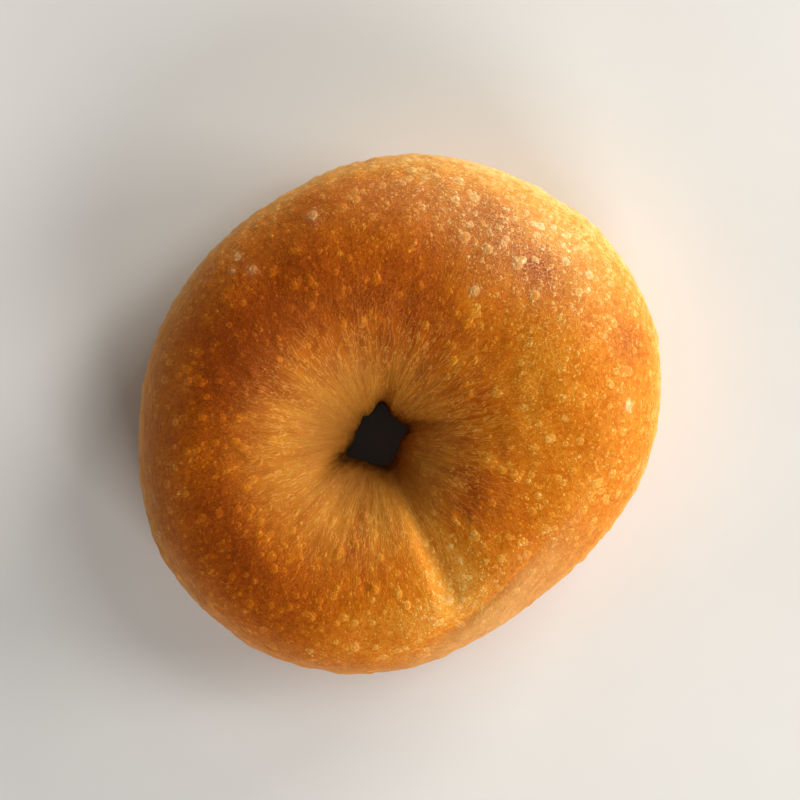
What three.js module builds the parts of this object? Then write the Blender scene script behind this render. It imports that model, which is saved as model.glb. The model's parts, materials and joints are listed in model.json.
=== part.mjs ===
// A plain baked bagel: one closed ring of dough with a small pinched hole, lying on its flat base.
// Millimetres, +Z up. The origin is on the surface that it rests on, under the middle of the ring.
//
// The ring is a skin over upright sections. Each section spans one clock direction, from the neck of the
// hole to the rim, and the puckers, the seam and the tuck are pressed into that skin. Clock directions
// are degrees counter-clockwise from +X, as seen from above.

import * as THREE from "three";
import { ParametricGeometry } from "three/addons/geometries/ParametricGeometry.js";

const { degToRad, euclideanModulo, smoothstep } = THREE.MathUtils;
const TURN = 2 * Math.PI;

// Driving dimensions of the ring.
const RIM_RADIUS = 53.8; // mean radius of the outline
const CREST_HEIGHT = 36.8; // mean height of the ring's top
const WAIST_HEIGHT = 16; // where the ring is widest and its hole is narrowest
const HOLE_RADIUS = 4.6; // the neck of the hole, between its puckers
const HOLE_PLACE = new THREE.Vector2(-4.1, -5.3); // the hole is off the middle, towards the thin side
const CREST_SHIFT = 0.05; // the crest is this share of a section's width outside its middle

// A ring rolled by hand isn't round. Each wave swells it by this much at each of its evenly spaced lobes.
const RIM_WAVES = [
  { lobes: 2, swell: 3.4, toward: 41 },
  { lobes: 3, swell: 1.0, toward: 7 },
  { lobes: 4, swell: 0.25, toward: 84 },
  { lobes: 6, swell: 0.25, toward: 34 },
];
const CREST_WAVES = [
  { lobes: 1, swell: 1.1, toward: 70 },
  { lobes: 2, swell: 0.5, toward: 20 },
];

// How square a section is: 2 is an ellipse, and more is squarer.
const FUNNEL_SQUARENESS = 2.1; // from the neck up to the crest
const SHOULDER_SQUARENESS = 2.2; // from the crest out to the rim
const UNDERSIDE_SQUARENESS = 2.8;
const PRESSED_SHARE = 1.1; // left free, the underside would reach down this many waist heights

// Puckers round the hole, where the dough gathered as the ring was closed. Each is deepest at the neck and
// fades out at its reach from the hole's middle.
const PUCKERS = [
  { toward: 15, depth: 1.6, halfWidth: 1.6, reach: 17 },
  { toward: 80, depth: 2.4, halfWidth: 1.5, reach: 15 },
  { toward: 212, depth: 3.1, halfWidth: 1.6, reach: 17 },
];
// The seam is a valley across the ring, where the two ends of the rope were pressed together. One of its
// walls is steep, and the other widens as it leaves the hole.
const SEAM = { toward: 296, depth: 2.2, steepHalfWidth: 2.4, gentleShare: 0.16, ends: 39, fade: 7 };
// The tuck is a long low crease on the outer side of the ring, where the seam runs out. Its inset is its
// distance from the rim, and its slant is how fast the inset grows along it.
const TUCK = { toward: 297, depth: 1.2, halfLength: 17, halfWidth: 2.2, inset: 5.6, slant: 0.16 };

// Resolution of the skin.
const STEPS_ROUND_RING = 120;
const STEPS_ROUND_SECTION = 42;

const clockDirection = (clock) => new THREE.Vector2(Math.cos(clock), Math.sin(clock));

const bell = (offset) => Math.exp(-offset * offset);

// The turn from one clock direction to another, between half a turn either way.
const turnFrom = (toward, clock) =>
  euclideanModulo(clock - degToRad(toward) + TURN / 2, TURN) - TURN / 2;

const swellOf = (waves, clock) =>
  waves.reduce((sum, { lobes, swell, toward }) => sum + swell * Math.cos(lobes * turnFrom(toward, clock)), 0);

// How deep the puckers, the seam and the tuck are together, at a place seen from above.
function creaseDepth(place, rimDistance) {
  const fromHole = place.clone().sub(HOLE_PLACE);
  const distance = fromHole.length();
  const sideways = (toward) => distance * turnFrom(toward, fromHole.angle());

  const puckers = PUCKERS.map(({ toward, depth, halfWidth, reach }) => {
    const left = 1 - smoothstep(distance, HOLE_RADIUS, reach);
    return depth * left * bell(sideways(toward) / halfWidth);
  });

  const acrossSeam = sideways(SEAM.toward);
  const gentleHalfWidth = SEAM.steepHalfWidth + SEAM.gentleShare * distance;
  const seamHalfWidth = acrossSeam < 0 ? SEAM.steepHalfWidth : gentleHalfWidth;
  const seamLeft = 1 - smoothstep(distance, SEAM.ends - SEAM.fade, SEAM.ends + SEAM.fade);
  const seam = SEAM.depth * seamLeft * bell(acrossSeam / seamHalfWidth);

  const alongTuck = sideways(TUCK.toward);
  const acrossTuck = rimDistance - TUCK.inset - TUCK.slant * alongTuck - distance;
  const tuck = TUCK.depth * bell(alongTuck / TUCK.halfLength) * bell(acrossTuck / TUCK.halfWidth);

  return puckers.reduce((sum, depth) => sum + depth, seam + tuck);
}

// The skin of the ring. Across runs round a section, from 0 at the neck, over the crest, to 0.5 at the rim
// and back along the base. Around is the share of a turn round the ring.
function bagelSkin(across, around, target) {
  const clock = around * TURN;
  const direction = clockDirection(clock);
  const neck = HOLE_PLACE.clone().addScaledVector(direction, HOLE_RADIUS);
  const rim = direction.clone().multiplyScalar(RIM_RADIUS + swellOf(RIM_WAVES, clock));
  const core = neck.clone().lerp(rim, 0.5);
  const outward = rim.clone().sub(neck).normalize();
  const halfWidth = neck.distanceTo(rim) / 2;

  // The smooth section, from its core: a rounded outline with a crest above and a pressed base below.
  const lean = -Math.cos(across * TURN);
  const rise = Math.sin(across * TURN);
  const topSquareness = lean < 0 ? FUNNEL_SQUARENESS : SHOULDER_SQUARENESS;
  const power = 2 / (rise > 0 ? topSquareness : UNDERSIDE_SQUARENESS);
  const upwards = CREST_HEIGHT + swellOf(CREST_WAVES, clock) - WAIST_HEIGHT;
  const reach = rise > 0 ? upwards : WAIST_HEIGHT * PRESSED_SHARE;
  const aside = halfWidth * Math.sign(lean) * Math.abs(lean) ** power;
  const height = reach * Math.sign(rise) * Math.abs(rise) ** power;

  // The creases pull the skin towards the core, on the top and down the sides but not at the base.
  const topside = smoothstep(rise, -0.7, 0.1);
  const smoothPlace = core.clone().addScaledVector(outward, aside);
  const depth = topside * creaseDepth(smoothPlace, HOLE_PLACE.distanceTo(rim));
  const kept = 1 - depth / Math.hypot(aside, height);
  const crestShift = 2 * halfWidth * CREST_SHIFT * (1 - (aside / halfWidth) ** 2);
  const place = core.addScaledVector(outward, kept * aside + crestShift);
  target.set(place.x, place.y, Math.max(0, WAIST_HEIGHT + kept * height));
}

function makeBagel() {
  const geometry = new ParametricGeometry(bagelSkin, STEPS_ROUND_SECTION, STEPS_ROUND_RING);
  const crust = new THREE.MeshStandardMaterial({ color: 0xc07a26, roughness: 0.5, metalness: 0 });
  const mesh = new THREE.Mesh(geometry, crust);
  mesh.name = "bagel";
  // The origin goes under the middle of the ring's own box.
  geometry.computeBoundingBox();
  const middle = geometry.boundingBox.getCenter(new THREE.Vector3());
  mesh.position.set(-middle.x, -middle.y, 0);
  return mesh;
}

const part = new THREE.Group();
part.add(makeBagel());

export default part;
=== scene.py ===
# %% [markdown]
# # A plain baked bagel
#
# A bagel is one rope of dough, closed into a ring, boiled for a moment and baked. Boiling sets the skin
# before the dough has finished rising, so the crust is thin and tight, with small blisters. The closing of
# the ring leaves a seam and a few puckers round the hole.
#
# This lesson builds it in Blender round a plain CAD ring that already has the right size. It could be
# sculpted freehand instead, but then its size would be a guess. The CAD ring is loaded first. It is the
# frame for everything else, and the looks may not change its dimensions.

# %% Load the frame
import json
import math

import bmesh
import bpy
import numpy as np
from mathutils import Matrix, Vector, noise
from mathutils.bvhtree import BVHTree
from mathutils.kdtree import KDTree


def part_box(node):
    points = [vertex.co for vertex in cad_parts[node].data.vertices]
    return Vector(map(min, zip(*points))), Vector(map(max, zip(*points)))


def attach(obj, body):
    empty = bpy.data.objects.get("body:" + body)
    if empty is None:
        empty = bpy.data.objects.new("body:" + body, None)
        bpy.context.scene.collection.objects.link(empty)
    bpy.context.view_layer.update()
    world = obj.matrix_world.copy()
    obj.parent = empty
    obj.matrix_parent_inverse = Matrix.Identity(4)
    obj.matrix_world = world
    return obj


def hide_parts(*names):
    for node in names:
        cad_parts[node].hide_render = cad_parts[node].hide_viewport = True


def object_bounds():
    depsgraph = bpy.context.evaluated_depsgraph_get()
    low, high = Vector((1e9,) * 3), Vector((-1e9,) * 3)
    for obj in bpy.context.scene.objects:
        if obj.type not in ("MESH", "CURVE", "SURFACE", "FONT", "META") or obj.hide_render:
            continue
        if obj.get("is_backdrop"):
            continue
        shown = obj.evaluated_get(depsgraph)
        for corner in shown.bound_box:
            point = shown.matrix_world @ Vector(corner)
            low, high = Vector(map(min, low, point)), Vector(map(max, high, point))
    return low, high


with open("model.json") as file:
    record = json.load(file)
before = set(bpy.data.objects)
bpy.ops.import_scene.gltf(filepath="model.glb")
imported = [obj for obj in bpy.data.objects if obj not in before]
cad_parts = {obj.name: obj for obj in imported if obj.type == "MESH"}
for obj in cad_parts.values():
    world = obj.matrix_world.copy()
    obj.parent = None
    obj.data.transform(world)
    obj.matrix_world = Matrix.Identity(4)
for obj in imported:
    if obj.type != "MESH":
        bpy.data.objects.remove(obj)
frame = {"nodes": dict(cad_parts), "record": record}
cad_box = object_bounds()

MM = 0.001
ring_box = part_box("bagel")
ring_length, ring_width, ring_height = ring_box[1] - ring_box[0]
print(f"The ring is {ring_length / MM:.1f} by {ring_width / MM:.1f} by {ring_height / MM:.1f} mm")

# %% [markdown]
# ## The camera
#
# The bagel lies flat and is seen from straight above, as on a baker's sheet. A long lens from well away
# keeps the perspective gentle. The lens could be chosen by eye, but it is worked out here from the ring's
# own length, so the ring fills the same share of the view whatever its size.

# %% Look straight down
CAMERA_HEIGHT = 0.80
BEHIND_MIDDLE = 3.1 * MM  # the camera stands this far behind the middle of the ring
RING_SHARE = 0.656  # the ring's length as a share of the view's width
WAIST_SHARE = 0.42  # the ring is widest at this share of its height
SENSOR_WIDTH = 36

waist_height = WAIST_SHARE * ring_height
lens_data = bpy.data.cameras.new("camera")
lens_data.sensor_width = SENSOR_WIDTH
lens_data.lens = SENSOR_WIDTH * RING_SHARE * (CAMERA_HEIGHT - waist_height) / ring_length
lens_data.clip_start = 0.01
camera = bpy.data.objects.new("camera", lens_data)
camera.location = (0, BEHIND_MIDDLE, CAMERA_HEIGHT)
bpy.context.scene.collection.objects.link(camera)
bpy.context.scene.camera = camera
print(f"The lens is {lens_data.lens:.0f} mm long")

# %% [markdown]
# ## The lamps
#
# The relief of a crust shows only in light that grazes it, and light from straight above would make it look
# flat. One small sun would graze it too, but with hard shadows. So the main lamp is a broad soft one, low
# behind the right side. It brightens the slopes that face it and lets the others fall into a warm shade.
# Weaker lamps on the right and in front soften the edge of that shade, a very broad one on the left keeps
# it from going black, and a small high one adds the glints.

# %% Hang the lamps
def lamp(name, clock, rise, distance, size, watts, colour=(1, 1, 1)):
    """A square area lamp that faces the bagel, from a clock direction and a height, both in degrees."""
    light = bpy.data.lights.new(name, "AREA")
    light.size = size
    light.energy = watts
    light.color = colour
    holder = bpy.data.objects.new(name, light)
    flat = math.cos(math.radians(rise)) * distance
    holder.location = (
        flat * math.cos(math.radians(clock)),
        flat * math.sin(math.radians(clock)),
        math.sin(math.radians(rise)) * distance,
    )
    holder.rotation_euler = (-holder.location).to_track_quat("-Z", "Y").to_euler()
    bpy.context.scene.collection.objects.link(holder)
    return holder


lamps = [
    lamp("low_lamp", clock=47, rise=15, distance=1.6, size=0.8, watts=26, colour=(1, 0.97, 0.92)),
    lamp("side_lamp", clock=2, rise=20, distance=1.6, size=0.6, watts=14),
    lamp("front_lamp", clock=298, rise=26, distance=1.6, size=0.8, watts=18),
    lamp("shade_lamp", clock=180, rise=16, distance=1.9, size=1.3, watts=6.5),
    lamp("high_lamp", clock=25, rise=50, distance=1.6, size=0.5, watts=6),
]
print(f"{len(lamps)} lamps of {sum(holder.data.energy for holder in lamps):.0f} W together")

# %% [markdown]
# ## The floor
#
# The bagel lies on a pale sheet, which catches its shadow. A curved backdrop would hide the horizon in low
# views, but from above there is none, so one flat square is enough. It is marked as part of the stage, so
# that it isn't taken for a piece of the bagel.

# %% Lay the floor
FLOOR_SPAN = 6.0

edge = FLOOR_SPAN / 2
floor_corners = [(-edge, -edge, 0), (edge, -edge, 0), (edge, edge, 0), (-edge, edge, 0)]
floor_mesh = bpy.data.meshes.new("floor")
floor_mesh.from_pydata(floor_corners, [], [(0, 1, 2, 3)])
floor = bpy.data.objects.new("floor", floor_mesh)
bpy.context.scene.collection.objects.link(floor)
floor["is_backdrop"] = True
print(f"A floor of {FLOOR_SPAN:.0f} m")

# %% [markdown]
# ## The room
#
# The walls of a room send a little light back from everywhere, so no shade is quite black. They could be
# modelled, but an even, pale world does the same here, and it is the quickest to render. Its light is kept
# weak, because too much of it would flatten the relief again. The Standard view shows the colours as they
# are mixed, without the softening of film.

# %% Light the room
ROOM_COLOUR = (0.97, 0.94, 0.9, 1)
ROOM_STRENGTH = 0.135

world = bpy.data.worlds.new("pale_room")
world.use_nodes = True
background = world.node_tree.nodes["Background"]
background.inputs["Color"].default_value = ROOM_COLOUR
background.inputs["Strength"].default_value = ROOM_STRENGTH
bpy.context.scene.world = world
bpy.context.scene.view_settings.view_transform = "Standard"
print(f"The room adds light of strength {ROOM_STRENGTH}")

# %% [markdown]
# ## The smooth dough
#
# The CAD ring is made of flat triangles. Dough has no flats, so its surface is rounded before anything
# else is done to it. Shading alone could hide the flats, but not at the outline. So a copy of the ring is
# taken, its triangles are joined back into four-sided faces, and a Subdivision Surface modifier rounds
# them. The copy is only a form to measure from and is never shown.

# %% Round the CAD ring
JOIN_DISTANCE = 0.002 * MM
ROUNDING_LEVELS = 2


def smooth_form(source):
    """A rounded copy of a faceted CAD piece, as a tree that rays can be cast at."""
    mesh = bmesh.new()
    mesh.from_mesh(source.data)
    bmesh.ops.remove_doubles(mesh, verts=mesh.verts, dist=JOIN_DISTANCE)
    bmesh.ops.join_triangles(
        mesh, faces=mesh.faces, angle_face_threshold=math.pi, angle_shape_threshold=math.pi
    )
    copied = bpy.data.meshes.new("dough_form")
    mesh.to_mesh(copied)
    mesh.free()
    form = bpy.data.objects.new("dough_form", copied)
    bpy.context.scene.collection.objects.link(form)
    rounding = form.modifiers.new("rounding", "SUBSURF")
    rounding.levels = ROUNDING_LEVELS
    tree = BVHTree.FromObject(form, bpy.context.evaluated_depsgraph_get())
    bpy.data.objects.remove(form)
    print(f"{len(copied.polygons)} faces before rounding")
    return tree


dough = smooth_form(frame["nodes"]["bagel"])

# %% [markdown]
# ## Rows and columns
#
# Fine detail needs many small faces. A remesh would give them, but in no order. Here they are set out in
# rows that run round the ring and columns that run round its section, like the hoops and the ribs of a
# basket. That makes it easy to say where things are: a column is a clock direction from the hole, counted
# counter-clockwise from +X, and a row is a place on the section. The frame's record knows where the hole is.

# %% Set out the columns round the hole
COLUMNS = 464
ROWS = 212

opening = frame["record"]["physics"]["openings"][0]["box_m"]
hole = (Vector(opening[0]) + Vector(opening[1])) / 2
clock = np.arange(COLUMNS) * (2 * math.pi / COLUMNS)
print(f"The hole's middle is {hole.x / MM:.1f}, {hole.y / MM:.1f} mm from the ring's")
print(f"{ROWS} rows by {COLUMNS} columns, at most {ROWS * COLUMNS * 2} triangles")

# %% [markdown]
# ## The core of the dough
#
# Inside the dough, halfway between the hole and the rim, runs a ring from which all of the skin can be
# seen. A plain circle would not do for it, as the bagel isn't round and its hole is off the middle. So in
# each column one ray finds the neck of the hole and another finds the rim, and the core lies between them.
# It is evened out, so that the rows don't follow every pucker.

# %% Find the core
CORE_EVENINGS = 300

centre = Vector((hole.x, hole.y, waist_height))
ways_out = [Vector((math.cos(turn), math.sin(turn), 0)) for turn in clock]


def low_pass(values, times, axes):
    """Evens out values along closed axes, by taking part of each neighbour many times."""
    for _ in range(times):
        for axis in axes:
            values = values / 2 + (np.roll(values, 1, axis) + np.roll(values, -1, axis)) / 4
    return values


def distance_met(start, way):
    """How far from the centre of the hole a ray meets the dough."""
    return (dough.ray_cast(start, way)[0] - centre).length


neck = np.array([distance_met(centre, way) for way in ways_out])
rim = np.array([distance_met(centre + way * ring_length, -way) for way in ways_out])
core = low_pass((neck + rim) / 2, CORE_EVENINGS, [0])
half_width = low_pass((rim - neck) / 2, CORE_EVENINGS, [0])
print(f"The neck is {neck.min() / MM:.1f} to {neck.max() / MM:.1f} mm from the hole's middle")
print(f"The rim is {rim.min() / MM:.1f} to {rim.max() / MM:.1f} mm from it")

# %% [markdown]
# ## The bare skin
#
# Every point of the skin is now found by casting a ray from the core to the smooth form, in turn from the
# neck of the hole over the crest to the rim and back along the base. The top gets more of the rows than
# the base, which is hidden and plain. A light evening takes away the last traces of the rays.

# %% Cast the skin from the core
TOP_SHARE = 0.70  # the share of the rows that lie on the top
SKIN_EVENINGS = 3

over = np.linspace(0, math.pi, round(ROWS * TOP_SHARE), endpoint=False)
under = np.linspace(math.pi, 2 * math.pi, ROWS - len(over), endpoint=False)


def cast_skin():
    """The points where the rays from the core meet the dough, in rows and columns."""
    points = np.zeros((ROWS, COLUMNS, 3))
    for column, way in enumerate(ways_out):
        start = centre + way * core[column]
        for row, turn in enumerate((*over, *under)):
            tall = (ring_height if turn < math.pi else 0) - waist_height
            aim = way * (-math.cos(turn) * half_width[column])
            aim.z = abs(math.sin(turn)) * tall
            points[row, column] = dough.ray_cast(start, aim)[0]
    return points


skin = low_pass(cast_skin(), SKIN_EVENINGS, [0, 1])
print(f"{len(over)} rows on the top and {len(under)} on the base")

# %% [markdown]
# ## Soft edges
#
# Nothing on a bagel has a hard edge: a crease, a lip or a browned patch fades into the dough beside it.
# Blender's sculpting brushes have a falloff for this. Here two curves do it in numbers: a bell for what has
# a middle, and a smooth step for what starts or ends somewhere.

# %% A bell and a step
def bell(offset):
    """1 in the middle, falling away to both sides like a bell."""
    return np.exp(-offset * offset)


def rise_between(value, low, high):
    """0 below low, 1 above high, and a smooth step between."""
    share = np.clip((value - low) / (high - low), 0, 1)
    return share * share * (3 - 2 * share)


print(f"A width from its middle, a bell is at {bell(1):.2f}")
print(f"A quarter of the way up, a step is at {rise_between(0.25, 0, 1):.2f}")

# %% [markdown]
# ## Ways to say where things are
#
# The relief goes into the skin in places that a baker would name: this far from the hole, this far in from
# the rim, this far up. Painting masks by hand would work too, but they would be lost with every change of
# the mesh. These few measures are worked out once for every point instead.

# %% Measures of every point
from_hole = np.hypot(skin[..., 0] - hole.x, skin[..., 1] - hole.y)
rim_distance = from_hole.max(axis=0)
inside_rim = rim_distance - from_hole
share_out = from_hole / rim_distance
height = skin[..., 2]
topside = rise_between(height, 5 * MM, 14 * MM)
print(f"From {from_hole.min() / MM:.1f} to {from_hole.max() / MM:.1f} mm from the middle of the hole")

# %% [markdown]
# ## Clock directions
#
# The seam and the puckers run straight out from the hole, so each of them is a clock direction with a
# width. Curves drawn by hand could mark them, but a direction is easier to change, and it suits the
# columns of the skin.

# %% Lines out from the hole, and sides of the ring
def turn_from(toward):
    """The turn of each column from a clock direction, between half a turn either way."""
    return (clock - math.radians(toward) + math.pi) % (2 * math.pi) - math.pi


def sideways(toward):
    """How far each point lies to the left of the line that runs out from the hole in a clock direction."""
    return from_hole * turn_from(toward)


def ridge(toward, half_width, shift=0.0):
    """1 along that line, or this far to its left, and a bell across it. Widths are in millimetres."""
    return bell((sideways(toward) - shift * MM) / (half_width * MM))


def from_to(start, full, fading, end):
    """1 over a stretch of the way out from the hole, with soft ends, in millimetres."""
    inner = rise_between(from_hole, start * MM, full * MM)
    return inner * (1 - rise_between(from_hole, fading * MM, end * MM))


def facing(toward):
    """1 on the side of the ring in a clock direction, and 0 on the opposite side."""
    return 0.5 + 0.5 * np.cos(clock - math.radians(toward))


print(f"{np.count_nonzero(facing(0) > 0.5)} of {COLUMNS} columns are on the right")

# %% [markdown]
# ## The seam
#
# From here on, each part of the relief is a distance by which the skin moves out of the dough or into it.
# Real geometry is used and not a bump texture, because folds show at the outline and throw shadows.
#
# The seam is where the two ends of the rope were pressed together. The CAD ring already has its broad
# valley. What it lacks is the soft lip of dough on one side, and a sharper bottom.

# %% Press the seam
LIP_HEIGHT = 0.35 * MM
VALLEY_DEPTH = 0.5 * MM


def tell(name, moved):
    """Prints how far a piece of the relief moves the skin, and hands it on."""
    print(f"{name}: from {moved.min() / MM:.2f} to {moved.max() / MM:.2f} mm")
    return moved


lip = ridge(290.5, 1.3) * from_to(9, 16, 36, 41)
valley = ridge(296.5, 1.5) * from_to(4, 9, 36, 42)
relief = tell("Seam", (LIP_HEIGHT * lip - VALLEY_DEPTH * valley) * topside)

# %% [markdown]
# ## The tuck
#
# On the outer side, where the seam runs out, the dough was tucked under. That leaves a long low crease
# with a lip outside it and a finer crease inside. Dough never creases evenly, so its depth wanders. The
# unevenness could be sculpted, but Blender's noise gives the same random hills every time.

# %% Fold the tuck
TUCK_INSET = 5.6 * MM
TUCK_SLANT = 0.16  # how fast the tuck draws in from the rim along its length
TUCK_LIP = 0.3 * MM
TUCK_DEPTH = 0.45 * MM


def rough(points, size, seed):
    """Smooth random hills over a set of points, with about this size, between -1 and 1."""
    shift = Vector((seed * 7.31, seed * 3.17, seed * 5.71))
    flat = points.reshape(-1, 3) / size
    heights = np.array([noise.noise(Vector(point) + shift) for point in flat])
    return heights.reshape(points.shape[:2])


across_tuck = inside_rim - (TUCK_INSET + TUCK_SLANT * sideways(297))
along_tuck = ridge(299, 15)
crease = bell(across_tuck / (0.7 * MM)) + 0.5 * bell((across_tuck - 2.2 * MM) / (0.7 * MM))
outer_lip = bell((across_tuck + 2.0 * MM) / (1.5 * MM))
uneven_depth = 1 + 0.7 * rough(skin, 5 * MM, seed=6)
fold = (TUCK_LIP * outer_lip - TUCK_DEPTH * crease) * uneven_depth
relief += tell("Tuck", fold * along_tuck * topside)

# %% [markdown]
# ## The puckers
#
# Round the hole the dough gathers into puckers, and in the bottom of each it folds onto itself. The CAD
# ring has the three broad ones. Here they get their sharp creases, and three small ones join them. A
# displacement texture could do this too, but a few named directions are easier to read and to move.

# %% Crease the puckers
# Each crease has its clock direction, its depth in millimetres and how far out from the hole it reaches.
PUCKERS = [
    (15, 0.7, 16),
    (80, 0.5, 11),
    (212, 0.5, 13),
    (40, 0.25, 9),
    (118, 0.3, 9),
    (170, 0.25, 9),
]
CREASE_HALF_WIDTH = 0.7

creases = np.zeros_like(height)
for toward, depth, reach in PUCKERS:
    left = 1 - rise_between(from_hole, 6 * MM, reach * MM)
    creases -= depth * MM * left * ridge(toward, CREASE_HALF_WIDTH)
relief += tell("Puckers", creases * topside)

# %% [markdown]
# ## The lobes round the hole
#
# Between the puckers the dough bulges into the hole, by different amounts and at different heights. That
# gives the hole its crooked shape from above. It could be modelled as separate folds, but they are one
# skin on the real ring, so each lobe is a soft push on that skin.

# %% Bulge the lobes
# Each bulge has its clock direction, how far it swells and how high it sits, both in millimetres.
BULGES = [
    (47, -0.3, 16),
    (100, 0.4, 20),
    (150, 1.1, 23),
    (190, 0.7, 20),
    (253, -0.6, 16),
    (312, 0.7, 15),
]
BULGE_HALF_TURN = math.radians(28)
BULGE_HALF_HEIGHT = 9 * MM
LOBE_ROUGHNESS = 0.4 * MM

bulges = LOBE_ROUGHNESS * rough(skin, 1.7 * MM, seed=9)
for toward, swell, level in BULGES:
    across_lobe = bell(turn_from(toward) / BULGE_HALF_TURN)
    bulges += swell * MM * across_lobe * bell((height - level * MM) / BULGE_HALF_HEIGHT)
near_hole = 1 - rise_between(from_hole, 6 * MM, 14 * MM)
relief += tell("Lobes", bulges * near_hole * topside)

# %% [markdown]
# ## The pleats
#
# The funnel round the hole is gathered into fine pleats, which run outwards and fade on the crest. Noise in
# plain space would give round bumps. So every point also gets a second place, on a tube of a fixed radius:
# one turn round the hole is one turn round the tube, and the way over the crest is the way along it. Noise
# that is long in that one direction comes out as pleats, and they meet without a join after a full turn.

# %% Gather the pleats
PLEAT_TUBE_RADIUS = 19.0
PLEAT_STRETCH = np.array([1, 1, 0.14])

section_step = np.linalg.norm(np.diff(skin, axis=0, append=skin[:1]), axis=2)
along_section = np.cumsum(section_step, axis=0)
tube_x = PLEAT_TUBE_RADIUS * np.cos(clock) * np.ones_like(height)
tube_y = PLEAT_TUBE_RADIUS * np.sin(clock) * np.ones_like(height)
pleat_place = np.stack([tube_x, tube_y, along_section / MM], axis=2)

fine_pleats = 0.09 * MM * rough(pleat_place * PLEAT_STRETCH, 0.62, seed=1)
broad_pleats = 0.13 * MM * rough(pleat_place * PLEAT_STRETCH, 1.5, seed=2)
on_funnel = 1 - rise_between(from_hole, 12 * MM, 27 * MM)
relief += tell("Pleats", (fine_pleats + broad_pleats) * on_funnel * topside)

# %% [markdown]
# ## Lumps and knobs
#
# A ring that was rolled by hand is never quite even, and its rim is knobbly where the skin tightened over
# the blisters. A Displace modifier with a texture would do. Sums of random hills do the same without one:
# broad and high, then finer and lower. For the knobs the hills are folded at their middle, which leaves
# sharp valleys between round heads.

# %% Leave the marks of hand rolling
KNOB_HEIGHT = 0.55 * MM
KNOB_LEVEL = 0.65  # sinks the knobs, so that they don't make the ring wider

lumps = 0.55 * rough(skin, 13 * MM, seed=3)
lumps += 0.2 * rough(skin, 4.5 * MM, seed=4)
lumps += 0.1 * rough(skin, 2.2 * MM, seed=5)
knobs = np.abs(rough(skin, 3.2 * MM, seed=11)) - KNOB_LEVEL
at_rim = rise_between(share_out, 0.85, 0.97)
relief += tell("Lumps and knobs", (lumps * MM + KNOB_HEIGHT * knobs * at_rim) * topside)

# %% [markdown]
# ## The points under a blister
#
# Steam under the boiled skin lifts it into blisters, from specks to domes as wide as a lentil. Each of them
# moves only the few points under it. A test of every point for every blister would be slow, so the points
# go into a k-d tree, which finds those near a place at once. Near the hole the skin was drawn inwards, so
# blisters there are ovals that point at it.

# %% Find the points of an oval
LEAST_STRETCH = 1.1  # how long a blister is for its width, well away from the hole
NEAR_STRETCH = 0.6  # how much longer it would be at the middle of the hole
STRETCH_ENDS = 34 * MM

skin_points = skin.reshape(-1, 3)
neighbours = KDTree(len(skin_points))
for index, point in enumerate(skin_points):
    neighbours.insert(point, index)
neighbours.balance()


def oval_around(place, radius):
    """The points near a place, and how far out each is: 0 in the middle of the oval, and 1 at its edge."""
    outward = Vector((place.x - hole.x, place.y - hole.y, 0))
    stretch = LEAST_STRETCH + NEAR_STRETCH * max(0, 1 - outward.length / STRETCH_ENDS)
    outward.normalize()
    well_past_edge = radius * 1.3 + 1.5 * MM
    for point, index, distance in neighbours.find_range(place, well_past_edge):
        along = (point - place).dot(outward)
        yield index, math.sqrt(distance**2 - along**2 * (1 - 1 / stretch**2)) / radius


print(f"{len(skin_points)} points in the tree")

# %% [markdown]
# ## The larger blisters
#
# The larger blisters are what the eye picks out, so each has a place of its own. Separate little domes
# could be set on the crust, but their edges would show, so the skin itself is lifted. Each point also
# notes how far out of its blister it is. The material will need that, as a blister has another colour than
# the crust round it, with a thin edge that is finer than the faces of the mesh.

# %% Raise the larger blisters
# Each blister has its place from above and its radius, in millimetres. The first seven have milky skin,
# which is partly a painted sheen.
LARGE_BLISTERS = [
    (-17.6, 40.4, 1.05), (15.1, 25.4, 1.0), (-33.0, 32.3, 0.85), (-30.1, 29.6, 0.85), (-34.0, 29.4, 0.6),
    (24.9, 31.2, 0.9), (46.4, 1.7, 0.8), (6.8, 3.5, 0.5), (11.0, 20.5, 0.6), (33.0, 19.0, 0.6),
    (-42.9, 6.9, 0.9), (-36.1, -0.4, 0.9), (-24.6, 11.2, 0.7), (-25.0, 15.6, 0.7), (27.5, 24.5, 1.1),
    (13.0, 36.0, 1.2), (18.0, 33.5, 0.9), (-7.5, -20.5, 0.9), (-4.0, -29.0, 0.8), (18.5, -17.5, 0.8),
    (-47.1, 10.5, 0.8), (-45.2, 8.0, 0.7), (-40.3, 6.4, 0.9), (-29.9, 8.6, 0.9), (-28.3, 5.4, 0.8),
    (-24.5, -0.8, 0.8), (-32.1, -6.5, 0.9), (-43.1, -7.3, 0.8), (-46.8, -26.3, 0.8), (-38.9, -31.5, 0.7),
    (-5.1, -35.4, 0.9), (1.5, -38.7, 0.9), (-19.4, -40.0, 0.8), (-27.0, -25.0, 0.8), (14.0, 4.0, 0.9),
]
MILKY_AND_SHEEN_BLISTERS = LARGE_BLISTERS[:7]
LARGE_TALLNESS = 0.17  # the height of a larger blister as a share of its radius
WALL_STEEPNESS = 1.5
FAR_FROM_BLISTERS = 3.0

lifted = np.zeros(len(skin_points))
blister_reach = np.full(len(skin_points), FAR_FROM_BLISTERS)


def raise_dome(place, radius, tall):
    """Lifts the skin into a flat dome, or presses a pit where tall is negative."""
    for index, reach in oval_around(place, radius):
        lifted[index] += tall * math.exp(-(reach**4) * WALL_STEEPNESS)


def add_blister(place, radius, tallness):
    """Raises a blister, and notes how far out of the nearest one each point is."""
    raise_dome(place, radius, tallness * radius)
    for index, reach in oval_around(place, radius):
        blister_reach[index] = min(blister_reach[index], reach)


def on_crust(x, y):
    """The place on top of the ring under a point seen from above, in millimetres."""
    aside = np.hypot(skin[..., 0] - x * MM, skin[..., 1] - y * MM)
    return Vector(skin_points[np.argmin(aside + (height < waist_height))])


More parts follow.
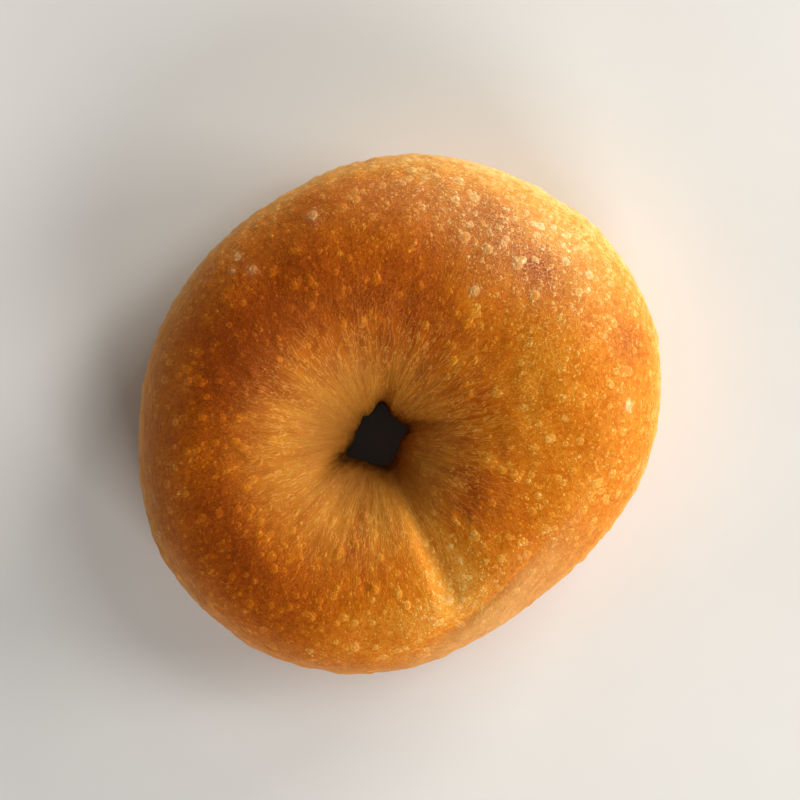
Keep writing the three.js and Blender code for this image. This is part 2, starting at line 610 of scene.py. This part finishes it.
for x, y, radius in LARGE_BLISTERS:
    add_blister(on_crust(x, y), radius * MM, LARGE_TALLNESS)
print(f"{len(LARGE_BLISTERS)} larger blisters, up to {lifted.max() / MM:.2f} mm high")

# %% [markdown]
# ## The pits
#
# A blister that burst leaves a small pit. The one beside the seam is broad, and the skin round it stayed
# swollen. A pit could be cut out with a Boolean, but it has soft walls. The same dome does for it, pressed
# inwards.

# %% Press the pits
# Each pit has its place, its radius and its depth in millimetres. One that is less than 0 deep is a swelling.
PITS = [
    (12.5, -20.6, 2.4, -0.15),
    (12.5, -20.6, 1.7, 0.4),
    (-42.3, -12.0, 0.9, 0.3),
    (-7.2, -34.8, 0.9, 0.25),
]

for x, y, radius, depth in PITS:
    raise_dome(on_crust(x, y), radius * MM, -depth * MM)
print(f"{len(PITS)} pits and swellings, up to {-lifted.min() / MM:.2f} mm deep")

# %% [markdown]
# ## The small blisters
#
# Hundreds of small blisters cover the crest and the flanks, and fade out towards the hole and down the
# sides. Particles could scatter them, but a seeded random draw gives the same bagel every time. Most are
# tiny and a few are larger, which is what the cube of a random number gives. The finest ones of all come
# later, in the material.

# %% Scatter the small blisters
SMALL_BLISTERS = 700
SMALLEST = 0.45 * MM
SIZE_RANGE = 0.6 * MM
SMALL_TALLNESS = 0.08

draw = np.random.default_rng(7)
away_from_hole = from_hole * rise_between(from_hole, 8 * MM, 30 * MM)
room = away_from_hole * rise_between(height, 16 * MM, 32 * MM)
chance = room.ravel() / room.sum()
for index in draw.choice(len(skin_points), SMALL_BLISTERS, p=chance):
    radius = SMALLEST + SIZE_RANGE * draw.random() ** 3
    add_blister(Vector(skin_points[index]), radius, SMALL_TALLNESS)
relief += tell("Blisters and pits", lifted.reshape(relief.shape))

# %% [markdown]
# ## The finished skin
#
# Now the relief moves every point along its own normal. A Displace modifier does the same, but it reads
# only one value for each point from a texture or a vertex group, while here the sum is at hand. The base
# stays flat on the floor.

# %% Move the skin
def normals_of(points):
    """The outward direction at each point of the closed grid."""
    round_ring = np.roll(points, -1, 1) - np.roll(points, 1, 1)
    round_section = np.roll(points, -1, 0) - np.roll(points, 1, 0)
    normal = np.cross(round_section, round_ring)
    return normal / np.linalg.norm(normal, axis=2, keepdims=True)


shaped = skin + normals_of(skin) * relief[..., None]
shaped[..., 2] = np.maximum(shaped[..., 2], 0)
print(f"The crest is up to {shaped[..., 2].max() / MM:.1f} mm high")

# %% [markdown]
# ## The bagel's mesh
#
# The bagel is one piece, so the points become one closed mesh, without a join where the last row and the
# last column meet the first. It also gets a UV map, so that its colours can be baked. Unwrapping by
# seams would work, but rows and columns are already a map. The ring is cut into two half rings that lie
# one above the other, so little of the square is wasted.
#
# Two calls make this mesh move with the root body and show it in place of the CAD ring.

# %% Build the bagel
UV_MARGIN = 0.005


def ring_mesh(points):
    """One closed mesh over the rows and columns, with a UV map of two stacked half rings."""
    index = np.arange(ROWS * COLUMNS).reshape(ROWS, COLUMNS)
    down = np.roll(index, -1, 0)
    corners = np.stack([index, down, np.roll(down, -1, 1), np.roll(index, -1, 1)], axis=2)
    mesh = bpy.data.meshes.new("bagel_crust")
    mesh.from_pydata(points.reshape(-1, 3).tolist(), [], corners.reshape(-1, 4).tolist())
    mesh.uv_layers.new(name="OFBake").data.foreach_set("uv", stacked_half_rings().ravel())
    mesh.polygons.foreach_set("use_smooth", np.ones(len(mesh.polygons), bool))
    mesh.update()
    return mesh


def stacked_half_rings():
    """The place on the UV map of each face's four corners."""
    half = COLUMNS // 2
    row, column = np.meshgrid(np.arange(ROWS), np.arange(COLUMNS), indexing="ij")
    row_corners = np.stack([row, row + 1, row + 1, row], axis=2) / ROWS
    column_corners = np.stack([column, column, column + 1, column + 1], axis=2)
    upper = (column >= half)[..., None]
    u = (column_corners - upper * half) / half * (1 - 2 * UV_MARGIN) + UV_MARGIN
    v = row_corners * (0.5 - 2 * UV_MARGIN) + upper * 0.5 + UV_MARGIN
    return np.stack([u, v], axis=3)


bagel = bpy.data.objects.new("bagel_crust", ring_mesh(shaped))
bpy.context.scene.collection.objects.link(bagel)
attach(bagel, "root")
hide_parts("bagel")
print(f"{len(bagel.data.polygons)} faces")

# %% [markdown]
# ## Where the crust is browned
#
# A crust browns most where it is thin and faces the heat. So the crest is darker than the valley of the
# seam and the shaded flanks, and a few patches caught more heat than the rest. An image could be painted
# for this. The amount is worked out for every point instead and kept in the mesh as an attribute, which the
# material can read, so it stays in place if the mesh changes.

# %% Browned and paler patches
# Each patch has its place and radius in millimetres, its stretch, its turn in degrees, and by how much it
# is browner or paler.
BROWNED_PATCHES = [
    (-34, 10, 9, 1.4, 60, 0.26),
    (-22, 28, 8, 1.4, 40, 0.13),
    (-35, -19, 7, 1.3, 90, 0.10),
    (-28, 22, 7, 1.8, 45, 0.10),
    (-17, 19, 6, 1.6, 35, 0.14),
    (17, -17, 6, 1.6, -30, 0.18),
    (-33, -30, 8, 1.7, -50, 0.21),
    (-42, -10, 7, 2.0, 90, 0.10),
    (-1, 30, 8, 2.2, 10, 0.20),
    (5, 20, 6, 1.3, 60, 0.20),
    (17, 16, 6, 1.6, -30, 0.10),
    (-16, -42, 6, 1.8, 0, 0.08),
    (-28, 8, 6, 1.4, 60, 0.20),
    (-5, 24, 5, 1.2, 0, 0.10),
    (-6, 45, 7, 2.0, 0, 0.10),
    (-31, -4, 5, 1.4, 90, 0.06),
    (-20, -32, 6, 1.4, 50, 0.10),
    (-5, -31, 5, 1.4, 0, 0.06),
]
PALER_PATCHES = [
    (30, 40, 8, 2.6, -40, 0.22),
    (13, 28, 5, 1.0, 0, 0.06),
    (24, 7, 7, 1.0, 0, 0.08),
    (2, 48, 9, 2.4, 0, 0.06),
    (6, -44, 8, 2.2, 15, 0.08),
    (-46, -5, 6, 3.0, 90, 0.10),
    (8, -27, 8, 1.6, -60, 0.12),
    (16, -5, 6, 1.0, 0, 0.10),
    (31, 16, 5, 1.0, 0, 0.08),
    (-5, -44, 6, 2.0, 0, 0.10),
    (4, -20, 6, 1.0, 0, 0.05),
]


def spot(x, y, radius, stretch=1.0, turn=0.0):
    """A soft round or oval patch on the top, with its middle and radius in millimetres."""
    turned = math.radians(turn)
    right = skin[..., 0] / MM - x
    back = skin[..., 1] / MM - y
    along = right * math.cos(turned) + back * math.sin(turned)
    across = back * math.cos(turned) - right * math.sin(turned)
    return bell(np.hypot(along / stretch, across) / radius) * topside


def sum_of(patches):
    """All the patches of a list together."""
    return sum(amount * spot(*patch) for *patch, amount in patches)


patchiness = sum_of(BROWNED_PATCHES) - sum_of(PALER_PATCHES)
print(f"The patches change the browning by {patchiness.min():.2f} to {patchiness.max():.2f}")

# %% [markdown]
# ## The browning and the painted sheen all together
#
# The patches lie over a slower change: paler down the flanks, most of all at the back, where the extra
# paleness is a painted sheen, and a little paler on the right half and in the seam. A thin broken brown line
# runs in the crease of the tuck, and the base is evenly brown, as it lay on a hot tray. One attribute holds
# the sum, because a crust has one colour ramp.

# %% Browning and painted sheen, kept as an attribute
CREST_BROWN = 0.60
BASE_BROWN = 0.62


def keep_attribute(name, values, kind="FLOAT"):
    """Stores one value, or one vector, for every point of the bagel."""
    layer = bagel.data.attributes.new(name, kind, "POINT")
    layer.data.foreach_set("value" if kind == "FLOAT" else "vector", values.astype(np.float32).ravel())
    print(f"{name}: from {values.min():.2f} to {values.max():.2f}")


# The flanks reach higher at the back, for the painted sheen there.
flank = 1 - rise_between(height, 15 * MM, (25 + 10 * facing(85)) * MM)
outer = rise_between(share_out, 0.45, 0.65)
right_crest = (facing(0) - 0.1) * rise_between(from_hole, 18 * MM, 34 * MM)
broken_line = np.clip(0.5 + 1.5 * rough(skin, 4 * MM, seed=8), 0, 1)
tuck_line = bell((across_tuck - 0.3 * MM) / (0.6 * MM)) * along_tuck * broken_line

# Paler down the flanks, and much more at the back, where it is a painted sheen.
brown_and_sheen = CREST_BROWN + patchiness - (0.14 + 0.36 * facing(85)) * flank * outer
brown_and_sheen += (0.2 * tuck_line - 0.16 * right_crest) * topside
brown_and_sheen -= 0.12 * ridge(296, 4.5, shift=1) * from_to(8, 14, 38, 44) * topside
base = 1 - rise_between(height, 1 * MM, 4 * MM)
keep_attribute("browning", brown_and_sheen * (1 - base) + BASE_BROWN * base)

# %% [markdown]
# ## The funnel round the hole
#
# The funnel and the seam saw less heat than the crest. Their crust is duller, as if floury, and is drawn
# into streaks. The walls of the hole, on the side away from the lamps, are darkened with a painted shade.
# These could be given a material of their own, but its edge would show. Three attributes fade them in and
# out of the one crust.

# %% Funnel, painted shade in the hole and streaks, kept as attributes
funnel_reach = (19 + 10 * facing(205)) * MM
round_hole = 1 - rise_between(from_hole, funnel_reach - 12 * MM, funnel_reach + 4 * MM)
round_hole *= 1 - 0.6 * spot(-27, 8, 6) - 0.5 * spot(-15, 14, 6)
in_seam = ridge(295, 2.2, shift=0.5) * (1 - rise_between(from_hole, 37 * MM, 42 * MM))
keep_attribute("funnelling", np.maximum(round_hole, 0.8 * in_seam) * topside)

shaded_side = np.clip(1.1 * facing(215) - 0.1, 0, 1)
# A painted shade, darkest at the neck of the hole on the side away from the lamps.
keep_attribute("sheltering", (1 - rise_between(from_hole, 7 * MM, 21 * MM)) * shaded_side)
keep_attribute("streaky", (1 - rise_between(from_hole, 18 * MM, 38 * MM)) * topside)

# %% [markdown]
# ## The tan skin low on the sides
#
# Low on the sides, and outside the tuck, the skin saw little heat and stayed tan and matte. It isn't only
# less browned: it has another colour and no gloss. So it gets an attribute of its own instead of a low
# value of the browning.

# %% Tan skin, kept as an attribute
left_half = facing(180)
outside_tuck = (1 - rise_between(across_tuck, -2.5 * MM, 1.5 * MM)) * ridge(302, 24)
low_flank = 1 - rise_between(height / MM, 14 + 5 * left_half, 24 + 12 * left_half)
low_flank *= rise_between(share_out, 0.5, 0.7)
shoulder = 0.12 * facing(50) * rise_between(share_out, 0.7, 0.9)
tan_flank = (0.6 + 0.3 * left_half) * low_flank + shoulder
keep_attribute("tan_skin", np.maximum(outside_tuck, tan_flank) * topside)

# %% [markdown]
# ## Milky skin, painted sheen and scorched skin
#
# Where many blisters crowd together the skin stayed thick and milky, and so it did on a few of the larger
# blisters. On the crest at the back right, where the lamps fall, that whiter colour is partly a painted
# sheen. Close to that a few small spots are scorched, with a purple-brown tinge. Both are soft patches
# again, and an attribute each keeps their colours apart from the browning.

# %% Milky skin with painted sheen, and scorched skin, kept as attributes
# Milky skin, and on the crest at the back right a painted sheen as well.
milky_skin_and_sheen = spot(24, 36, 9, 2.4, -35) + 0.3 * spot(0, 47, 7, 2.4, 5)
for x, y, radius in MILKY_AND_SHEEN_BLISTERS:
    milky_skin_and_sheen += 0.8 * spot(x, y, 1.3 * radius)
keep_attribute("milkiness", np.clip(milky_skin_and_sheen, 0, 1))

scorched_skin = spot(28, 30.2, 4.0, 1.4, -40)
scorched_skin += 0.7 * spot(20, 40, 3.5, 2.0, -40)
scorched_skin += 0.6 * spot(47.8, 15.6, 3.2, 1.4, -60)
keep_attribute("scorching", scorched_skin)

# %% [markdown]
# ## Where the blisters and the pleats are
#
# The material has to draw the edges of the blisters and the streaks of the funnel in the same places as
# the mesh has them. It could work their places out again, but that would take a node for every blister.
# So the two measures that were used for the mesh are kept in it too.

# %% Blisters and pleats, kept as attributes
keep_attribute("blister_reach", blister_reach)
keep_attribute("pleat_place", pleat_place, "FLOAT_VECTOR")
print("Kept", ", ".join(layer.name for layer in bagel.data.attributes if not layer.is_internal))

# %% [markdown]
# ## Shader sums in plain Python
#
# A material is a graph of nodes. Built by hand, a formula such as `1 - mask * 0.5` takes several boxes and
# wires. This small class wraps an output socket, and Python's own operators add the Math nodes, so a
# formula reads as one. Any other kind of node comes from its one method `node`.

# %% A socket that does sums
class Wire:
    """An output socket of the material being made."""

    tree = None

    def __init__(self, socket):
        self.socket = socket

    @classmethod
    def node(cls, kind, settings=None, inputs=None, output=0):
        """Adds a node. Settings are set first, then the values and links of its sockets."""
        made = cls.tree.nodes.new(kind)
        for name, value in (settings or {}).items():
            if name == "stops":
                cls.set_stops(made.color_ramp, value)
            else:
                setattr(made, name, value)
        for name, value in (inputs or {}).items():
            socket = made.inputs[name]
            if isinstance(value, cls):
                cls.tree.links.new(value.socket, socket)
            else:
                socket.default_value = value
        return cls(made.outputs[output]) if made.outputs else None

    @staticmethod
    def set_stops(ramp, stops):
        """Gives a colour ramp its stops, each with a position and a colour."""
        while len(ramp.elements) < len(stops):
            ramp.elements.new(1)
        for element, (position, colour) in zip(ramp.elements, stops):
            element.position = position
            element.color = colour

    def beside(self, output):
        """Another output of the same node."""
        return Wire(self.socket.node.outputs[output])

    @classmethod
    def sum(cls, operation, *values):
        """A Math node on one, two or three values."""
        return cls.node("ShaderNodeMath", {"operation": operation}, dict(enumerate(values)))

    def __add__(self, other):
        return self.sum("ADD", self, other)

    def __sub__(self, other):
        return self.sum("SUBTRACT", self, other)

    def __rsub__(self, other):
        return self.sum("SUBTRACT", other, self)

    def __mul__(self, other):
        return self.sum("MULTIPLY", self, other)

    def __truediv__(self, other):
        return self.sum("DIVIDE", self, other)

    def __rtruediv__(self, other):
        return self.sum("DIVIDE", other, self)

    __radd__ = __add__
    __rmul__ = __mul__

    def step(self, low, high):
        """0 below low, 1 above high, and a smooth step between."""
        inputs = {"Value": self, "From Min": low, "From Max": high}
        return self.node("ShaderNodeMapRange", {"interpolation_type": "SMOOTHSTEP"}, inputs)


print("Wire turns + - * / into Math nodes")

# %% [markdown]
# ## Colours, vectors and materials
#
# A Math node would turn a colour grey and a vector into one number, so colours go through a Mix node and
# vectors through Vector Math. Colours are written as a painter would pick them from a screen, and are
# turned into the light values that a shader works in.

# %% Helpers for colours, vectors and materials
def paint(hexadecimal):
    """A colour as the eye sees it, such as c98a3c, as the light values that a shader works in."""
    shown = [int(hexadecimal[start : start + 2], 16) / 255 for start in (0, 2, 4)]
    return (*(value / 12.92 if value < 0.04045 else ((value + 0.055) / 1.055) ** 2.4 for value in shown), 1)


def blend(factor, first, second):
    """The second colour over the first, by a factor."""
    settings = {"data_type": "RGBA", "blend_type": "MIX", "clamp_factor": True}
    return Wire.node("ShaderNodeMix", settings, {0: factor, 6: first, 7: second}, output=2)


def vector(operation, first, second):
    """A Vector Math node on two vectors."""
    return Wire.node("ShaderNodeVectorMath", {"operation": operation}, {0: first, 1: second})


def new_material(name):
    """An empty material, ready for Wire to build in."""
    material = bpy.data.materials.new(name)
    material.use_nodes = True
    material.node_tree.nodes.clear()
    Wire.tree = material.node_tree
    return material


def surface(inputs):
    """Ends the material with a Principled shader and its output."""
    shader = Wire.node("ShaderNodeBsdfPrincipled", {}, inputs)
    Wire.node("ShaderNodeOutputMaterial", {}, {"Surface": shader})


print("The colour 808080 is", round(paint("808080")[0], 3), "of full light")

# %% [markdown]
# ## Places on the crust
#
# Every pattern on the crust is drawn over some place. Plain space in millimetres serves for what is the
# same in all directions. The pleats' own place, squeezed along one of its directions, serves for what is
# drawn out by the gathering of the dough: streaks in the funnel, and long folds on the flanks. A UV map
# could give places too, but it stretches where the ring is wide.

# %% Start the crust's material
def attribute(name, output="Fac"):
    """What an attribute of the mesh holds."""
    return Wire.node("ShaderNodeAttribute", {"attribute_name": name}, output=output)


def squeezed(round_ring, outwards):
    """The pleats' place, squeezed or stretched round the ring and on the way out from the hole."""
    return vector("MULTIPLY", pleats, (round_ring, round_ring, outwards))


def warped(place, size, amount):
    """The place pushed about by a random amount, so that what is drawn there isn't regular."""
    cloud = Wire.node("ShaderNodeTexNoise", {}, {"Vector": place, "Scale": 1 / size, "Detail": 1.0}, "Color")
    push = vector("MULTIPLY", vector("SUBTRACT", cloud, (0.5, 0.5, 0.5)), (amount, amount, amount))
    return vector("ADD", place, push)


crust = new_material("crust")
metres = Wire.node("ShaderNodeTexCoord", output="Object")
place = vector("MULTIPLY", metres, (1 / MM, 1 / MM, 1 / MM))
pleats = attribute("pleat_place", "Vector")
bent = warped(squeezed(1, 0.42), 0.5, 0.35)
streaky = attribute("streaky")
plain = 1 - streaky
calm = 1 - streaky.step(0.5, 1.0) * 0.9
print(f"{len(crust.node_tree.nodes)} nodes for places")

# %% [markdown]
# ## Unevenness of the crust
#
# Seen closely, a crust is a play of hills of many sizes: slow changes as wide as a fingertip, clouds the
# size of sesame seeds, a finer mottle and a grain. In the funnel they are drawn into streaks and bundles.
# They could be painted by hand, but noise textures never repeat. Where hills pass half their height there
# are thin winding lines, and those serve as the pale veins and threads of a real crust.

# %% Hills, veins and threads
def hills(place, size, detail=3.0, roughness=0.55, distortion=0.0):
    """Random hills of about this size in the units of place, between 0 and 1."""
    inputs = {
        "Vector": place,
        "Scale": 1 / size,
        "Detail": detail,
        "Roughness": roughness,
        "Distortion": distortion,
    }
    return Wire.node("ShaderNodeTexNoise", {"noise_type": "FBM", "normalize": True}, inputs)


def lines(value, width):
    """Thin winding lines, where random hills pass half of their height."""
    return 1 - Wire.sum("ABSOLUTE", value - 0.5).step(0.0, width)


slow = hills(place, 7.0)
clouds = hills(place, 2.6)
tracery = lines(hills(place, 1.1, roughness=0.6), 0.035)
grain = hills(place, 0.45, detail=2.0, roughness=0.6)
mottle = hills(bent, 0.42, detail=2.0, roughness=0.5)
streaks = hills(squeezed(1, 0.22), 0.7, detail=2.0, distortion=0.6)
bundles = hills(squeezed(1, 0.12), 2.2, detail=2.0, roughness=0.5)
long_folds = hills(squeezed(0.3, 1.2), 1.0, detail=2.0, roughness=0.5)
fine = streaks.step(0.33, 0.67) * streaky + mottle.step(0.3, 0.7) * plain
veins = lines(streaks, 0.045) * streaky + lines(mottle, 0.035) * plain
threads = lines(grain, 0.05)
print(f"{len(crust.node_tree.nodes)} nodes with the hills")

# %% [markdown]
# ## Blisters and flecks in the material
#
# A blister is a paler disc with a thin pale outline, where its wall stands up. The modelled ones are drawn
# from the reach that was kept in the mesh. The finest ones would need millions of faces, so they exist
# only here: a Voronoi texture cuts the crust into cells, and most of the cells get a bead or a fleck of a
# random size.

# %% Blisters of three sizes
def shape_blister(reach, here, radius):
    """The pale fill, the outline and the height of a blister. Its reach is 0 in the middle, 1 at the edge."""
    fill = (1 - reach.step(0.7, 1.05)) * here
    outline = (reach.step(0.65, 0.85) - reach.step(0.95, 1.15)) * here
    return fill, outline, (1 - reach.step(0.3, 1.1)) * here * radius


def blisters(place, size, share, smallest, largest):
    """Round blisters of many sizes in a share of the cells of this size."""
    distance = Wire.node("ShaderNodeTexVoronoi", {}, {"Vector": place, "Scale": 1 / size}, "Distance")
    # Each cell has a random colour. Its red picks the cells with a blister, and its green sets the size.
    red = Wire.node("ShaderNodeSeparateColor", {}, {"Color": distance.beside("Color")})
    green = red.beside("Green")
    here = red.step(1 - share, 1 - share + 0.05)
    radius = green * green * (largest - smallest) + smallest
    return shape_blister(distance / radius, here, radius * size)


flecks = blisters(bent, size=0.34, share=0.7, smallest=0.2, largest=0.5)
fleck_fill, _, fleck_height = flecks
beads = blisters(warped(bent, 0.6, 0.3), size=1.0, share=0.7, smallest=0.16, largest=0.46)
bead_fill, bead_ring, bead_height = beads
uneven_reach = attribute("blister_reach") + (grain - 0.5) * 0.4
dome_fill, dome_ring, dome_height = shape_blister(uneven_reach, 1.0, 1.0)

domes = bead_fill * 0.6 * calm + dome_fill
rings = bead_ring * 0.5 * calm + dome_ring * grain.step(0.3, 0.6)
pale = veins * 0.5 + threads * 0.2 * plain + fleck_fill * calm * 0.55 + rings * 0.5
print(f"{len(crust.node_tree.nodes)} nodes with the blisters")

# %% [markdown]
# ## How brown each place is
#
# The browning kept in the mesh says how brown the crust is over a finger's width, with the painted sheen of
# the back flanks in it. The hills, the grain and the bundles of streaks make it vary within that, and
# blisters make it paler. Where the crust is pale it isn't smooth either: it shows soft clouds and a fine
# brown tracery. Everything is added up as one number before any colour is chosen, because real browning is
# one process too.

# %% From browning to tone
scorched = attribute("scorching")
within = (fine - 0.5) * 0.12 + (grain - 0.5) * 0.2
# The browning read here carries the painted sheen of the back flanks too.
browned = attribute("browning") + (slow - 0.5) * 0.3 + within * (1 - dome_fill * 0.7)
browned = browned + (bundles - 0.5) * 0.5 * streaky + scorched * 0.12 + 0.15
browned = browned - domes * browned.step(0.1, 0.55) * 0.14
pale_skin = 1 - browned.step(0.3, 0.55)
browned = browned + (tracery * 0.24 - (clouds.step(0.4, 0.65) - 0.5) * 0.15) * pale_skin
tone = browned - pale * 0.3 * browned.step(0.1, 0.55)
print(f"{len(crust.node_tree.nodes)} nodes with the tone")

# %% [markdown]
# ## The colours of the crust
#
# Dough turns from cream through gold and orange to deep brown as it bakes, so one ramp gives the colour of
# each tone. Skin that isn't on that scale is laid over it with a mask each: the dull funnel and its pale
# veins, a painted shade on the walls of the hole, the tan flanks, the milky skin, which is partly a painted
# sheen, and the scorched spots. A separate material for each would need hard borders, which a crust
# doesn't have.

# %% From tone to colour
BAKING = [
    (0.0, paint("f2d48c")),
    (0.2, paint("e6b868")),
    (0.35, paint("d8963a")),
    (0.5, paint("ca7812")),
    (0.62, paint("be6406")),
    (0.8, paint("a64e03")),
    (1.0, paint("863801")),
]
DULL_FUNNEL = paint("b87c28")
PALE_VEINS = paint("e8b05a")
# The colour of the painted shade on the walls of the hole.
PAINTED_HOLE_SHADE = paint("86521a")
TAN_FLANKS = paint("cf9858")
# Milky skin, partly a painted sheen.
MILKY_SKIN_AND_SHEEN = paint("f2d49c")
SCORCHED_SPOTS = paint("7e3426")

funnel = attribute("funnelling")
milky_and_sheen = attribute("milkiness")
tan_skin = attribute("tan_skin") * (0.5 + long_folds.step(0.4, 0.6) * 0.3)
colour = Wire.node("ShaderNodeValToRGB", {"stops": BAKING}, {"Fac": tone})
colour = blend(funnel * (1.1 - bundles), colour, DULL_FUNNEL)
colour = blend(veins * streaky * 0.32, colour, PALE_VEINS)
# Painted shade on the walls of the hole.
colour = blend(attribute("sheltering") * 0.9, colour, PAINTED_HOLE_SHADE)
colour = blend(tan_skin, colour, TAN_FLANKS)
# Pale specks turn milky, partly a painted sheen on the crest at the back right.
colour = blend(milky_and_sheen * (pale * 0.65 + dome_fill * 0.1 + 0.08), colour, MILKY_SKIN_AND_SHEEN)
colour = blend(scorched * grain.step(0.4, 0.6) * (1 - domes) * 0.8, colour, SCORCHED_SPOTS)
print(f"{len(crust.node_tree.nodes)} nodes with the colours")

# %% [markdown]
# ## Bumps and gloss
#
# The finest relief is smaller than the faces of the mesh, so a Bump node draws it from the same patterns
# as the colours. It could come from a texture of its own, but then bumps and colours would not agree. The
# crust is nearly matte. Only its blisters have a faint gloss, most of all the milky ones, and that comes
# from the coat of the Principled shader.

# %% Finish the crust
bumps = fine * 0.06 + grain * 0.06 + veins * 0.04
bumps = bumps + (fleck_height * 0.4 + bead_height * 0.3) * calm + dome_height * 0.09
bump = Wire.node("ShaderNodeBump", {}, {"Strength": 1.0, "Distance": MM, "Height": bumps})
surface({
    "Base Color": colour,
    "Roughness": 0.5 + grain * 0.14 - domes * 0.12 + funnel * 0.1,
    "Normal": bump,
    "IOR": 1.4,
    "Specular IOR Level": 0.1,
    "Coat Weight": domes * (milky_and_sheen * 0.3 + 0.06) + 0.01,
    "Coat Roughness": 0.16,
})
bagel.data.materials.append(crust)
print(f"{len(crust.node_tree.nodes)} nodes in the crust")

# %% [markdown]
# ## The floor's finish
#
# The sheet under the bagel is plain and pale. One flat colour would do, but it would look like empty space,
# so its tone is a little uneven.

# %% Finish the floor
PALE_SHEET = paint("e1dfda")
SHEET_SHADE = paint("d9d6d0")

pale_floor = new_material("pale_floor")
floor_tone = hills(Wire.node("ShaderNodeTexCoord", output="Object"), 0.05, detail=4.0)
surface({"Base Color": blend(floor_tone, SHEET_SHADE, PALE_SHEET), "Roughness": 0.7})
floor.data.materials.append(pale_floor)
print(f"{len(pale_floor.node_tree.nodes)} nodes in the floor")

# %% [markdown]
# ## Finish
#
# Last, the size of the finished bagel is printed beside the size of the CAD ring, so that the two can be
# compared.

# %% Write the sizes and finish
boxes = {"cad": [list(corner) for corner in cad_box], "visual": [list(corner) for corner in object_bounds()]}
print("Sizes in millimetres:", {k: [round((b - a) / MM, 2) for a, b in zip(*v)] for k, v in boxes.items()})
